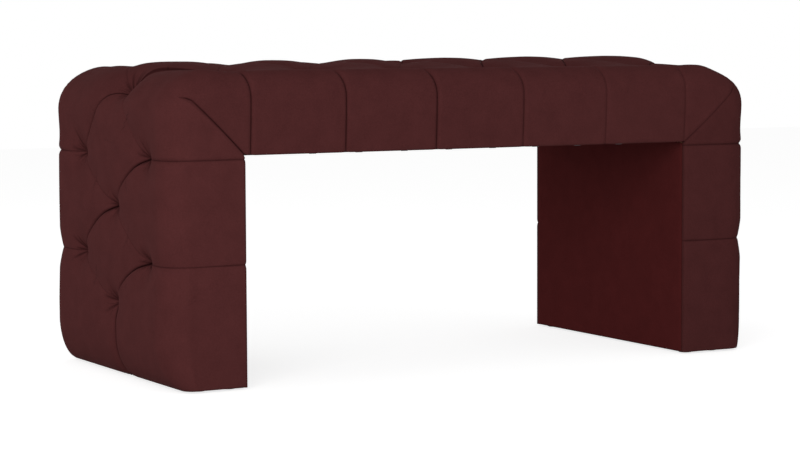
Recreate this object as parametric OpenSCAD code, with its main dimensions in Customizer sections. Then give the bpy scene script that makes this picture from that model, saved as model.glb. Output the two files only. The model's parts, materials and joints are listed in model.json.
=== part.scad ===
// Backless upholstered bench: a tufted seat that runs over both ends into two slab legs.
// X runs along the bench, the front faces -Y, and the glides stand on Z = 0.

/* [Bench] */
// Clear width between the two legs
leg_gap = 786; // [640:2:1000]
// Height of the seat's underside above the floor
seat_under = 348; // [335:1:420]
// Thickness of the seat, to the crests of its padding
seat_t = 139; // [134:1:160]
// Thickness of a leg, to the crests of its padding
leg_t = 131; // [128:1:150]
// Depth from the front seams to the back seams
seam_depth = 458; // [440:2:540]
// Height of the legs' lower edge above the floor, on its glides
hem_h = 3; // [2:0.5:6]

/* [Cover] */
// Padding and fabric over the foam of the seat and the legs
cover_t = 42; // [41:1:46]
// Padding and fabric on the front and back faces
cover_wall = 7; // [6:0.5:9]
// Padding and fabric over the foam's corner, along the mitre
corner_cover_t = 44; // [42:1:50]
// Fall of the seat's crests from the centre line to the front and back edges
crown = 13; // [8:1:14]
// Radius of the bench's rounded front and back edges
edge_r = 42; // [38:1:44]
// Radius of the bench's rounded upper corners
corner_r = 80; // [70:1:90]
// Swell of the front and back faces past their seams
face_swell = 4; // [3.5:0.5:6]
// How far the legs draw in at the lower edge
hem_tuck = 38.5; // [36:0.5:40]
// Height over which the legs draw in
hem_rise = 70; // [55:1:90]
// Radius of the legs' upright edges at the lower edge
hem_edge_r = 14; // [13:0.5:16]

/* [Tufts] */
// Bays between tufts along the gap
bay_count = 5; // [4:1:6]
// Distance of the outer tufts from the centre line
tuft_row = 129; // [115:1:140]
// Depth of a tuft below the crests
tuft_depth = 24; // [16:1:28]
// Depth of the tuft at each upper corner
corner_tuft_depth = 30; // [20:1:32]
// Reach of a tuft's hollow
tuft_reach = 30; // [20:1:36]
// Depth of the folds between tufts
fold_depth = 14; // [8:1:16]
// Reach of a fold's slope
fold_reach = 52; // [30:1:60]
// Depth of the straight pleats
pleat_depth = 6.5; // [3:0.5:7]
// Reach of a pleat's slope
pleat_reach = 20; // [12:1:30]
// Depth of the mitre darts
dart_depth = 2; // [1:0.5:3]

/* [Foam and boards] */
// Thickness of the foam slabs
foam_t = 25; // [20:1:28]
// Diameter of the hole in the foam under a tuft
foam_hole_d = 32; // [20:1:34]
// Depth of the hole in the foam under a corner's tuft
corner_hole_t = 10; // [6:1:11]
// Thickness of the seat deck
deck_t = 12; // [9:1:18]
// Thickness of the leg panels
panel_t = 12; // [9:1:15]
// Thickness of the base plates
base_t = 18; // [18:1:25]
// Thickness of the seat's rails
rail_t = 22; // [18:1:30]
// Width of a leg's posts, front to back
post_w = 45; // [38:1:60]
// Height of the legs' top rails
top_rail_h = 45; // [40:1:46]
// Height of the legs' middle rails
mid_rail_h = 36; // [25:1:38]
// Sides of the seat frame's corner blocks
block_side = 50; // [30:1:60]
// Distance of a corner block from the rails' upper and lower edges
block_inset = 4; // [2:1:8]

/* [Linings] */
// Thickness of the legs' inner lining
lining_t = 2; // [1:0.5:3]
// Thickness of the dust cover and the base cloths
cloth_t = 1; // [0.6:0.1:1.5]

/* [Fasteners] */
// Diameter of the frame bolts
bolt_d = 8; // [6:1:8]
// Clearance between the outer frame bolts' washers and the corner blocks
bolt_inset = 30; // [10:1:50]
// Diameter of the frame washers
washer_d = 20; // [16:1:24]
// Thickness of the frame washers
washer_t = 1.6; // [1:0.2:2]
// Width of the nuts and bolt heads across their corners
nut_w = 15; // [12:1:15]
// Height of the nuts and bolt heads
nut_h = 6; // [4:0.5:8]
// Diameter of the wood screws
screw_d = 4; // [3:0.5:5]
// Diameter of the wood screws' heads
screw_head_d = 8; // [7:0.5:10]
// Height of the wood screws' countersunk heads
screw_head_h = 3; // [2:0.5:4]
// Length of the wood screws
screw_l = 34; // [28:1:36]
// Clearance round a bolt, screw, nail or staple in its hole
hole_gap = 0.15; // [0.1:0.05:0.25]
// Diameter of the tufting twine
twine_d = 2.4; // [2:0.1:3]
// Diameter of the twine's hole in a board
twine_hole_d = 5; // [4:0.5:8]
// Diameter of the twine's toggles
toggle_d = 18; // [14:1:20]
// Thickness of the twine's toggles
toggle_t = 3; // [2:0.5:4]
// Clearance round a toggle or nut in its recess
recess_gap = 2; // [1:0.5:2.5]
// Diameter of the glides
glide_d = 24; // [18:1:26]
// Distance of the glides' rims from the leg's edges
glide_inset = 7; // [7:1:12]
// Diameter of the glides' nails
nail_d = 2.5; // [2:0.1:3]
// Length of the glides' nails
nail_l = 16; // [12:1:17]
// Diameter of the nails' heads
nail_head_d = 8; // [6:0.5:10]
// Height of the nails' heads
nail_head_h = 1; // [0.8:0.1:1.2]
// Width of a staple's crown
staple_w = 10; // [8:1:12]
// Diameter of a staple's wire
staple_d = 1.2; // [0.8:0.1:1.4]
// Length of a staple's legs
staple_l = 8; // [6:1:10]
// Distance of the staples from the dust cover's edge
staple_inset = 9; // [7:1:12]
// Staples between two cross rails
staple_rows = 2; // [1:1:3]

/* [Hidden] */
$fn = 32;
overrun = 1;

// Stations along the strip, counted in half bays from the middle of the seat
half_bay = leg_gap / 2 / bay_count;
corner_in = bay_count;
mitre = bay_count + 1;
corner_out = bay_count + 2;
last_tuft = bay_count + 5;
hem_station = corner_out + (seat_under - hem_h) / half_bay;
mitre_turn = 45;

// Stations inside a half bay, as shares of it, counted from its outer tufts
bay_shares = [0, 0.1, 0.37, 0.7];
// Stations below the last tuft, as shares of the way to the lower edge
hem_shares = [0.25, 0.5, 0.7, 0.85, 0.95, 1];
// Points up a face, round an edge, and from the edge to the outer tufts, as shares of each
face_shares = [0, 0.5];
edge_shares = [0, 0.33, 0.67, 1];
top_shares = [0.5];
// What is left of the last fold's depth at the lower edge
hem_fold_share = 0.1;
// Power that blends one hollow into the next
blend_power = 3;

// Heights
cover_z = seat_under + seat_t - cover_t;
foam_z = cover_z - foam_t;
deck_z = foam_z - deck_t;
rail_z = seat_under + cloth_t;
rail_h = deck_z - rail_z;
base_z = hem_h + cloth_t;
frame_z = base_z + base_t;
frame_h = deck_z - frame_z;
top_rail_z = deck_z - top_rail_h;
mid_rail_z = seat_under - (3 * half_bay + mid_rail_h) / 2;
bolt_z = deck_z - top_rail_h / 2;

// Places along X, on the right-hand side, and the frame's faces along Y
gap_x = leg_gap / 2;
inner_x = gap_x + lining_t;
post_x = inner_x + panel_t;
cover_x = gap_x + leg_t - cover_t;
foam_x = cover_x - foam_t;
outer_x = foam_x - panel_t;
end_rail_x = inner_x - rail_t;
frame_y = seam_depth / 2 - cover_wall;
post_y = frame_y - post_w;
rail_y = frame_y - rail_t;

// The foam's corner is cut square to the mitre
mitre_side = (crest_r(mitre_turn) - corner_cover_t) * cos(mitre_turn);
cut_x = gap_x + 2 * mitre_side - (cover_z - seat_under);
cut_z = seat_under + 2 * mitre_side - (cover_x - gap_x);

// Rows of pieces
cross_half = (bay_count % 2 == 0 ? 0.5 : 1.5) * half_bay;
cross_places = [for (x = [cross_half : 2 * half_bay : end_rail_x - block_side]) each [-x, x]];
bolt_pitch = rail_y - block_side - bolt_inset - washer_d / 2;
bolt_places = [-bolt_pitch, 0, bolt_pitch];
nut_pocket_t = nut_h + washer_t + recess_gap;
nut_pocket_x = outer_x - nut_pocket_t;
post_screw_y = frame_y - post_w / 2;
panel_screw_shares = [0.12, 0.5, 0.86];
panel_screw_zs = [for (s = panel_screw_shares) frame_z + s * frame_h];
rail_screw_y = frame_y - rail_t / 2;
end_screw_y = bolt_pitch / 2;
glide_xs = [inner_x + glide_inset + glide_d / 2, cover_x - glide_inset - glide_d / 2];
glide_y = frame_y - glide_inset - glide_d / 2;
staple_step = 2 * half_bay / staple_rows;
staple_xs = [for (x = [staple_step / 2 : staple_step : end_rail_x - block_side]) each [-x, x]];

fabric_color = [0.28, 0.14, 0.14];
cloth_color = [0.07, 0.07, 0.07];
foam_color = [0.93, 0.88, 0.72];
ply_color = [0.78, 0.62, 0.42];
timber_color = [0.84, 0.7, 0.5];
steel_color = [0.72, 0.73, 0.75];

// Form of the tufted strip

// Distance from the bench's inner corner to the crest of its rounded upper corner
function crest_r(turn) =
    let (cx = leg_t - corner_r, cz = seat_t - corner_r, dx = sin(turn), dz = cos(turn),
        along = dx * cx + dz * cz)
    seat_t * dx <= cx * dz ? seat_t / dz
    : leg_t * dz <= cz * dx ? leg_t / dx
    : along + sqrt(along * along - cx * cx - cz * cz + corner_r * corner_r);

function station_z(m) = seat_under - (m - corner_out) * half_bay;

// How far a leg has drawn in at a height, as a share of the whole
function tuck_share(z) =
    let (down = 1 - min(1, max(0, (z - hem_h) / hem_rise)))
    1 - sqrt(1 - down * down);

// The way out from the seam, turning from upright over the seat to level on the legs
function turn(m) = 90 * min(1, max(0, (m - corner_in) / 2));
function crest_h(m) = m < corner_out ? crest_r(turn(m))
    : leg_t - hem_tuck * tuck_share(station_z(m));
function edge_radius(m) = m < corner_out ? edge_r
    : edge_r + (hem_edge_r - edge_r) * tuck_share(station_z(m));

// Distance from a point to the stretch between two others
function reach(p, a, b) =
    let (ab = b - a, t = min(1, max(0, (p - a) * ab / (ab * ab))))
    norm(p - a - t * ab);

// A slope that falls steeply into a fold and levels out at its reach, and a round hollow
function slope(d, wide) = d >= wide ? 0 : 1 - sqrt(1 - pow(1 - d / wide, 2));
function hollow(d, wide) = exp(-pow(d / wide, 2));

// Distance along the strip from the nearest station with outer tufts
function from_outer(m) =
    let (k = abs(m - corner_in), wrapped = k - 2 * floor(k / 2))
    half_bay * (m > last_tuft ? m - last_tuft + 1 : min(wrapped, 2 - wrapped));

// Depth below the crests at a station and a distance from the centre line
function depth(m, v) =
    let (p = [from_outer(m), v], outer = [0, tuft_row], middle = [half_bay, 0],
        below = max(0, (m - last_tuft) / (hem_station - last_tuft)),
        near_mitre = max(0, 1 - abs(m - mitre)),
        tuft = tuft_depth + (corner_tuft_depth - tuft_depth) * near_mitre,
        upright = below > 0 ? (1 + (hem_fold_share - 1) * below) * slope(v, fold_reach) : 0,
        a = tuft * hollow(min(norm(p - outer), norm(p - middle)), tuft_reach),
        b = fold_depth * max(slope(reach(p, outer, middle), fold_reach), upright),
        c = pleat_depth * slope(v > tuft_row ? p[0] : norm(p - outer), pleat_reach))
    pow(pow(a, blend_power) + pow(b, blend_power) + pow(c, blend_power), 1 / blend_power);

// Distance from the centre line to where the front and back edges begin to round over
function edge_start(m) = seam_depth / 2 + face_swell - edge_radius(m);

// Height of the crests at a station and a distance from the centre line
function crest(m, v) =
    crest_h(m) - crown * cos(turn(m)) * pow(sin(90 * min(1, v / edge_start(m))), 2);

// Points across a station from its seam to the last one before the centre line
function half_section(m) =
    let (r = edge_radius(m), y0 = seam_depth / 2, y1 = edge_start(m), h = crest(m, y1),
        dart = dart_depth * slope(abs(m - mitre) * half_bay, pleat_reach))
    concat(
        [for (s = face_shares)
            let (d = s * max(dart, depth(m, y0)))
            [s * (h - r), y0 + face_swell * sin(90 * s) - d]],
        [for (s = edge_shares)
            let (d = depth(m, y1 + r * (1 - s)))
            [h - r + (r - d) * sin(90 * s), y1 + (r - d) * cos(90 * s)]],
        [for (s = top_shares)
            let (v = y1 + s * (tuft_row - y1))
            [crest(m, v) - depth(m, v), v]],
        [for (s = bay_shares)
            let (v = tuft_row * (1 - s))
            [crest(m, v) - depth(m, v), v]]);

// The points across a station from the front seam to the back seam
function section(m) =
    let (half = half_section(m), last = len(half) - 1)
    concat([for (q = half) [q[0], -q[1]]], [[crest_h(m) - depth(m, 0), 0]],
        [for (i = [last : -1 : 0]) half[i]]);

// The same points in the bench's frame; a negative station lies on the left
function row_points(m) =
    let (k = abs(m), side = m < 0 ? -1 : 1, z0 = k > corner_out ? station_z(k) : seat_under)
    [for (q = section(k))
        [side * (min(k, corner_in) * half_bay + q[0] * sin(turn(k))), q[1],
            z0 + q[0] * cos(turn(k))]];

// Stations from one whole number up to another, closest beside the pleats
function stations(a, b) = [for (k = [a : b - 1])
    each ((k - corner_in) % 2 == 0 ? [for (s = bay_shares) k + s]
        : [k, for (i = [len(bay_shares) - 1 : -1 : 1]) k + 1 - bay_shares[i]])];

half_rows = concat(stations(0, mitre), [mitre]);
seat_rows = concat([for (i = [len(half_rows) - 1 : -1 : 1]) -half_rows[i]], half_rows);
leg_rows = concat(stations(mitre, last_tuft), [last_tuft],
    [for (s = hem_shares) last_tuft + s * (hem_station - last_tuft)]);
row_size = len(section(0));

function first_at(rows, m) = [for (i = [0 : len(rows) - 1]) if (rows[i] == m) i][0];

// Every seam point between the two pleats of a corner is the bench's inner corner
function point_id(rows, i, j) =
    let (m = abs(rows[i]), seam = j == 0 || j == row_size - 1,
        in_fan = m > corner_in && m < corner_out,
        meet = rows[0] == mitre ? corner_out : rows[i] < 0 ? -corner_in : corner_in)
    (seam && in_fan ? first_at(rows, meet) : i) * row_size + j;

// Skin of triangles over the rows, its diagonals laid along the folds
function skin(rows) = [for (i = [0 : len(rows) - 2]) for (j = [0 : row_size - 2])
    let (a = point_id(rows, i, j), b = point_id(rows, i + 1, j),
        c = point_id(rows, i + 1, j + 1), d = point_id(rows, i, j + 1),
        to_middle = from_outer(abs(rows[i + 1])) > from_outer(abs(rows[i])),
        front = j < (row_size - 1) / 2)
    for (t = to_middle == front ? [[a, d, c], [a, c, b]] : [[a, d, b], [d, c, b]])
        if (t[0] != t[1] && t[1] != t[2] && t[2] != t[0]) t];

// Outline of a row, and of the seam from one row to another
function row_ids(rows, i) = [for (j = [0 : row_size - 1]) point_id(rows, i, j)];
function seam_ids(rows, a, b, j) = [for (i = [a : b]) i * row_size + j];
function back_to_front(v) = [for (i = [len(v) - 1 : -1 : 0]) v[i]];

// End of a cover part: triangles from its outline to the two deep corners of the frame's side
function end_cap(ids, near, deep, far_deep, far) =
    let (last = len(ids) - 1, middle = last / 2)
    concat([for (i = [0 : last - 1]) [i < middle ? far_deep : deep, ids[i], ids[i + 1]]],
        [[ids[middle], deep, far_deep], [ids[last], near, deep], [far_deep, far, ids[0]]]);

// Corner points of the frame's side of a cover, front and back
function pair(x, z) = [[x, -frame_y, z], [x, frame_y, z]];

// Pieces of the bench

module slab(from, to) {
    translate(from) cube(to - from);
}

// A cover part over the seat: the skin, two mitred ends, two seam faces and the frame's side
module seat_cover_solid() {
    rows = seat_rows;
    last = len(rows) - 1;
    left = first_at(rows, -corner_in);
    right = first_at(rows, corner_in);
    n = len(rows) * row_size;
    sl = n; sr = n + 2; ml = n + 4; mr = n + 6; cl = n + 8; cr = n + 10;
    mitre_x = gap_x + mitre_side;
    mitre_z = seat_under + mitre_side;
    points = concat([for (m = rows) each row_points(m)],
        pair(-gap_x, seat_under), pair(gap_x, seat_under), pair(-mitre_x, mitre_z),
        pair(mitre_x, mitre_z), pair(-cut_x, cover_z), pair(cut_x, cover_z));
    polyhedron(points, concat(skin(rows),
        end_cap(back_to_front(row_ids(rows, 0)), sl, ml, ml + 1, sl + 1),
        end_cap(row_ids(rows, last), sr + 1, mr + 1, mr, sr), [
        concat([sl], seam_ids(rows, left, right, 0), [sr]),
        concat([sr + 1], back_to_front(seam_ids(rows, left, right, row_size - 1)), [sl + 1]),
        [sl, sr, mr, cr, cl, ml],
        [ml + 1, cl + 1, cr + 1, mr + 1, sr + 1, sl + 1],
        [cl, cr, cr + 1, cl + 1],
        [ml, cl, cl + 1, ml + 1],
        [cr, mr, mr + 1, cr + 1]]), convexity = 10);
}

// A cover part over the right leg: as the seat's, with one mitred end and the lower edge
module leg_cover_solid() {
    rows = leg_rows;
    last = len(rows) - 1;
    top = first_at(rows, corner_out);
    n = len(rows) * row_size;
    s = n; m = n + 2; k = n + 4; d = n + 6; b = n + 8;
    points = concat([for (r = rows) each row_points(r)],
        pair(gap_x, seat_under), pair(gap_x + mitre_side, seat_under + mitre_side),
        pair(cover_x, cut_z), pair(cover_x, hem_h), pair(gap_x, hem_h));
    polyhedron(points, concat(skin(rows),
        end_cap(back_to_front(row_ids(rows, 0)), s, m, m + 1, s + 1),
        end_cap(row_ids(rows, last), b + 1, d + 1, d, b), [
        concat([s], seam_ids(rows, top, last, 0), [b]),
        concat([b + 1], back_to_front(seam_ids(rows, top, last, row_size - 1)), [s + 1]),
        [s, b, d, k, m],
        [m + 1, k + 1, d + 1, b + 1, s + 1],
        [k, d, d + 1, k + 1],
        [m, k, k + 1, m + 1]]), convexity = 10);
}

module tufted_cover_seat() {
    color(fabric_color) seat_cover_solid();
}

module tufted_cover(side) {
    color(fabric_color) to_side(side) leg_cover_solid();
}

// Moves what is drawn for the right-hand side to either side
module to_side(side) {
    if (side < 0) mirror([1, 0, 0]) children();
    else children();
}

// Everything the cover goes round, from the legs' lower edges to the foam's cut corners
module inside_of_cover() {
    rotate([90, 0, 0]) linear_extrude(2 * frame_y, center = true)
        polygon([[-cover_x, hem_h], [cover_x, hem_h], [cover_x, cut_z], [cut_x, cover_z],
            [-cut_x, cover_z], [-cover_x, cut_z]]);
}

// Places of the tufts: the children point outwards from the cover's inner face
module at_seat_tufts() {
    for (m = [-bay_count : bay_count])
        for (y = (abs(m) - corner_in) % 2 == 0 ? [-tuft_row, tuft_row] : [0])
            translate([m * half_bay, y, cover_z]) children();
}

module at_leg_tufts() {
    for (m = [corner_out : last_tuft])
        for (y = (m - corner_in) % 2 == 0 ? [-tuft_row, tuft_row] : [0])
            translate([cover_x, y, station_z(m)]) rotate([0, 90, 0]) children();
}

module at_corner_tuft() {
    translate([gap_x + mitre_side, 0, seat_under + mitre_side])
        rotate([0, mitre_turn, 0]) children();
}

module below(d, h) {
    translate([0, 0, -h]) cylinder(d = d, h = h + overrun);
}

module corner_tuft_hole() {
    at_corner_tuft() {
        below(foam_hole_d, corner_hole_t);
        below(twine_hole_d, foam_t + deck_t);
    }
}

module seat_foam() {
    color(foam_color) difference() {
        intersection() {
            inside_of_cover();
            slab([-cover_x, -frame_y, foam_z], [cover_x, frame_y, cover_z]);
        }
        at_seat_tufts() below(foam_hole_d, foam_t + overrun);
        for (side = [-1, 1]) to_side(side) corner_tuft_hole();
    }
}

module leg_foam(side) {
    color(foam_color) to_side(side) difference() {
        intersection() {
            inside_of_cover();
            slab([foam_x, -frame_y, frame_z], [cover_x, frame_y, foam_z]);
        }
        at_leg_tufts() below(foam_hole_d, foam_t + overrun);
        corner_tuft_hole();
    }
}

module leg_lining(side) {
    color(fabric_color) to_side(side)
        slab([gap_x, -frame_y, hem_h], [inner_x, frame_y, seat_under]);
}

// Countersunk wood screw, its head's face on Z = 0 and its point down; room widens its hole
module screw(room = 0) {
    cylinder_d = screw_d + 2 * room;
    head_d = screw_head_d + 2 * room;
    translate([0, 0, -screw_head_h]) cylinder(d1 = cylinder_d, d2 = head_d, h = screw_head_h);
    translate([0, 0, -screw_l - room]) cylinder(d = cylinder_d, h = screw_l + room - screw_head_h);
}

module at_deck_screws() {
    for (x = cross_places) for (y = [-rail_screw_y, rail_screw_y])
        translate([x, y, foam_z]) children();
    for (x = [-end_rail_x - rail_t / 2, end_rail_x + rail_t / 2])
        for (y = [-end_screw_y, end_screw_y]) translate([x, y, foam_z]) children();
}

// The inner panel's screws sit half a head's row lower, clear of the outer panel's
module at_panel_screws() {
    for (y = [-post_screw_y, post_screw_y]) for (z = panel_screw_zs) {
        translate([foam_x, y, z]) rotate([0, 90, 0]) children();
        translate([inner_x, y, z - 2 * screw_head_d]) rotate([0, -90, 0]) children();
    }
}

module at_base_screws() {
    for (y = [-post_screw_y, post_screw_y])
        translate([(post_x + outer_x) / 2, y, base_z]) rotate([180, 0, 0]) children();
}

module deck_screws() {
    color(steel_color) at_deck_screws() screw();
}

module leg_screws(side) {
    color(steel_color) to_side(side) {
        at_panel_screws() screw();
        at_base_screws() screw();
    }
}

module at_bolts() {
    for (y = bolt_places) translate([0, y, bolt_z]) rotate([0, 90, 0]) children();
}

module bolt_holes() {
    at_bolts() translate([0, 0, end_rail_x - overrun])
        cylinder(d = bolt_d + 2 * hole_gap, h = outer_x - end_rail_x + 2 * overrun);
}

module toggle_recesses() {
    at_seat_tufts() translate([0, 0, deck_z - toggle_t - recess_gap - cover_z])
        cylinder(d = toggle_d + 2 * recess_gap, h = toggle_t + recess_gap + overrun);
}

module seat_deck() {
    color(ply_color) difference() {
        slab([-foam_x, -frame_y, deck_z], [foam_x, frame_y, foam_z]);
        at_seat_tufts() below(twine_hole_d, foam_t + deck_t + overrun);
        at_deck_screws() screw(hole_gap);
    }
}

module seat_long_rail(side) {
    color(timber_color) difference() {
        slab([-inner_x, side > 0 ? rail_y : -frame_y, rail_z],
            [inner_x, side > 0 ? frame_y : -rail_y, deck_z]);
        at_deck_screws() screw(hole_gap);
        staple_holes();
    }
}

module seat_end_rail(side) {
    color(timber_color) to_side(side) difference() {
        slab([end_rail_x, -rail_y, rail_z], [inner_x, rail_y, deck_z]);
        at_deck_screws() screw(hole_gap);
        bolt_holes();
        toggle_recesses();
        staple_holes();
    }
}

module seat_cross_rails() {
    color(timber_color) for (x = cross_places)
        slab([x - rail_t / 2, -rail_y, rail_z], [x + rail_t / 2, rail_y, deck_z]);
}

module corner_blocks() {
    color(timber_color) for (side = [-1, 1]) for (face = [-1, 1])
        translate([side * end_rail_x, face * rail_y, rail_z + block_inset])
            linear_extrude(rail_h - 2 * block_inset)
                polygon([[0, 0], [-side * block_side, 0], [0, -face * block_side]]);
}

module leg_outer_panel(side) {
    color(ply_color) to_side(side) difference() {
        slab([outer_x, -frame_y, frame_z], [foam_x, frame_y, deck_z]);
        at_leg_tufts() below(twine_hole_d, foam_t + panel_t + overrun);
        at_panel_screws() screw(hole_gap);
    }
}

module leg_inner_panel(side) {
    color(ply_color) to_side(side) difference() {
        slab([inner_x, -frame_y, frame_z], [post_x, frame_y, deck_z]);
        at_panel_screws() screw(hole_gap);
        bolt_holes();
        toggle_recesses();
    }
}

module leg_post(side, face) {
    color(timber_color) to_side(side) difference() {
        slab([post_x, face > 0 ? post_y : -frame_y, frame_z],
            [outer_x, face > 0 ? frame_y : -post_y, deck_z]);
        at_panel_screws() screw(hole_gap);
        at_base_screws() screw(hole_gap);
    }
}

module leg_top_rail(side) {
    color(timber_color) to_side(side) difference() {
        slab([post_x, -post_y, top_rail_z], [outer_x, post_y, deck_z]);
        bolt_holes();
        at_bolts() translate([0, 0, nut_pocket_x])
            cylinder(d = washer_d + recess_gap, h = nut_pocket_t + overrun);
    }
}

module leg_mid_rail(side) {
    color(timber_color) to_side(side)
        slab([post_x, -post_y, mid_rail_z], [outer_x, post_y, mid_rail_z + mid_rail_h]);
}

module leg_base_plate(side) {
    color(ply_color) to_side(side) difference() {
        slab([inner_x, -frame_y, base_z], [cover_x, frame_y, frame_z]);
        at_base_screws() screw(hole_gap);
        glide_nail_holes();
    }
}

// Bolt from the seat's end rail into the leg's top rail, with its head inside the seat
module frame_bolts() {
    color(steel_color) for (side = [-1, 1]) to_side(side) at_bolts() {
        translate([0, 0, end_rail_x - washer_t - nut_h]) cylinder(d = nut_w, h = nut_h, $fn = 6);
        translate([0, 0, end_rail_x - washer_t])
            cylinder(d = bolt_d, h = outer_x - end_rail_x + washer_t - recess_gap);
    }
}

module washer() {
    difference() {
        cylinder(d = washer_d, h = washer_t);
        translate([0, 0, -overrun])
            cylinder(d = bolt_d + 2 * hole_gap, h = washer_t + 2 * overrun);
    }
}

module frame_washers() {
    color(steel_color) for (side = [-1, 1]) to_side(side) at_bolts() {
        translate([0, 0, end_rail_x - washer_t]) washer();
        translate([0, 0, nut_pocket_x]) washer();
    }
}

module frame_nuts() {
    color(steel_color) for (side = [-1, 1]) to_side(side) at_bolts()
        translate([0, 0, nut_pocket_x + washer_t]) difference() {
            cylinder(d = nut_w, h = nut_h, $fn = 6);
            translate([0, 0, -overrun])
                cylinder(d = bolt_d + 2 * hole_gap, h = nut_h + 2 * overrun);
        }
}

module tuft_twines() {
    corner_twine_l = (gap_x + mitre_side - foam_x) / sin(mitre_turn) - twine_d / 2;
    color("ivory") {
        at_seat_tufts() translate([0, 0, -foam_t - deck_t])
            cylinder(d = twine_d, h = foam_t + deck_t);
        for (side = [-1, 1]) to_side(side) {
            at_leg_tufts() translate([0, 0, -foam_t - panel_t])
                cylinder(d = twine_d, h = foam_t + panel_t);
            at_corner_tuft() translate([0, 0, -corner_twine_l])
                cylinder(d = twine_d, h = corner_twine_l);
        }
    }
}

module tuft_toggles() {
    color("dimgray") {
        at_seat_tufts() translate([0, 0, -foam_t - deck_t - toggle_t])
            cylinder(d = toggle_d, h = toggle_t);
        for (side = [-1, 1]) to_side(side) at_leg_tufts()
            translate([0, 0, -foam_t - panel_t - toggle_t]) cylinder(d = toggle_d, h = toggle_t);
    }
}

// Staples run along the front, back and end rails, each with its crown under the dust cover
module at_staples() {
    for (x = staple_xs) for (y = [-1, 1])
        translate([x, y * (frame_y - staple_inset), seat_under]) children();
    for (x = [-1, 1]) for (y = bolt_places)
        translate([x * (inner_x - staple_inset), y, seat_under]) rotate([0, 0, 90]) children();
}

module staple_legs(room = 0) {
    for (x = [-staple_w / 2, staple_w / 2]) translate([x, 0, -room])
        cylinder(d = staple_d + 2 * room, h = staple_l + 2 * room);
}

module staple_holes() {
    at_staples() staple_legs(hole_gap);
}

module dust_cover_staples() {
    color(steel_color) at_staples() {
        staple_legs();
        translate([-(staple_w + staple_d) / 2, -staple_d / 2, -staple_d])
            cube([staple_w + staple_d, staple_d, staple_d]);
    }
}

module seat_dust_cover() {
    color(cloth_color) difference() {
        slab([-inner_x, -frame_y, seat_under], [inner_x, frame_y, rail_z]);
        staple_holes();
    }
}

module at_glides() {
    for (x = glide_xs) for (y = [-glide_y, glide_y]) translate([x, y, hem_h]) children();
}

module glide_nail_holes() {
    at_glides() translate([0, 0, -overrun])
        cylinder(d = nail_d + 2 * hole_gap, h = nail_l + hole_gap + overrun);
}

module leg_base_cloth(side) {
    color(cloth_color) to_side(side) difference() {
        slab([inner_x, -frame_y, hem_h], [cover_x, frame_y, base_z]);
        glide_nail_holes();
    }
}

module glides() {
    color("dimgray") for (side = [-1, 1]) to_side(side) at_glides() difference() {
        translate([0, 0, -hem_h]) rotate_extrude() polygon([[0, 0], [glide_d / 2 - hem_h / 2, 0],
            [glide_d / 2, hem_h / 2], [glide_d / 2, hem_h], [0, hem_h]]);
        translate([0, 0, -nail_head_h - hole_gap])
            cylinder(d = nail_head_d + 2 * hole_gap, h = nail_head_h + hole_gap + overrun);
    }
}

module glide_nails() {
    color(steel_color) for (side = [-1, 1]) to_side(side) at_glides() {
        translate([0, 0, -nail_head_h]) cylinder(d = nail_head_d, h = nail_head_h);
        cylinder(d = nail_d, h = nail_l);
    }
}

tufted_cover_seat();
tufted_cover(-1);  // tufted_cover_left
tufted_cover(1);  // tufted_cover_right
leg_lining(-1);  // leg_left_lining
leg_lining(1);  // leg_right_lining
seat_foam();
leg_foam(-1);  // leg_left_foam
leg_foam(1);  // leg_right_foam
seat_deck();
seat_long_rail(-1);  // seat_front_rail
seat_long_rail(1);  // seat_back_rail
seat_end_rail(-1);  // seat_left_end_rail
seat_end_rail(1);  // seat_right_end_rail
seat_cross_rails();
corner_blocks();
leg_outer_panel(-1);  // leg_left_outer_panel
leg_inner_panel(-1);  // leg_left_inner_panel
leg_post(-1, -1);  // leg_left_front_post
leg_post(-1, 1);  // leg_left_back_post
leg_top_rail(-1);  // leg_left_top_rail
leg_mid_rail(-1);  // leg_left_mid_rail
leg_base_plate(-1);  // leg_left_base_plate
leg_outer_panel(1);  // leg_right_outer_panel
leg_inner_panel(1);  // leg_right_inner_panel
leg_post(1, -1);  // leg_right_front_post
leg_post(1, 1);  // leg_right_back_post
leg_top_rail(1);  // leg_right_top_rail
leg_mid_rail(1);  // leg_right_mid_rail
leg_base_plate(1);  // leg_right_base_plate
frame_bolts();
frame_washers();
frame_nuts();
deck_screws();
leg_screws(-1);  // leg_left_screws
leg_screws(1);  // leg_right_screws
tuft_twines();
tuft_toggles();
seat_dust_cover();
dust_cover_staples();
leg_base_cloth(-1);  // leg_left_base_cloth
leg_base_cloth(1);  // leg_right_base_cloth
glides();
glide_nails();
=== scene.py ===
import json
import math

import bmesh
import bpy
import numpy as np
from mathutils import Matrix, Vector

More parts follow.
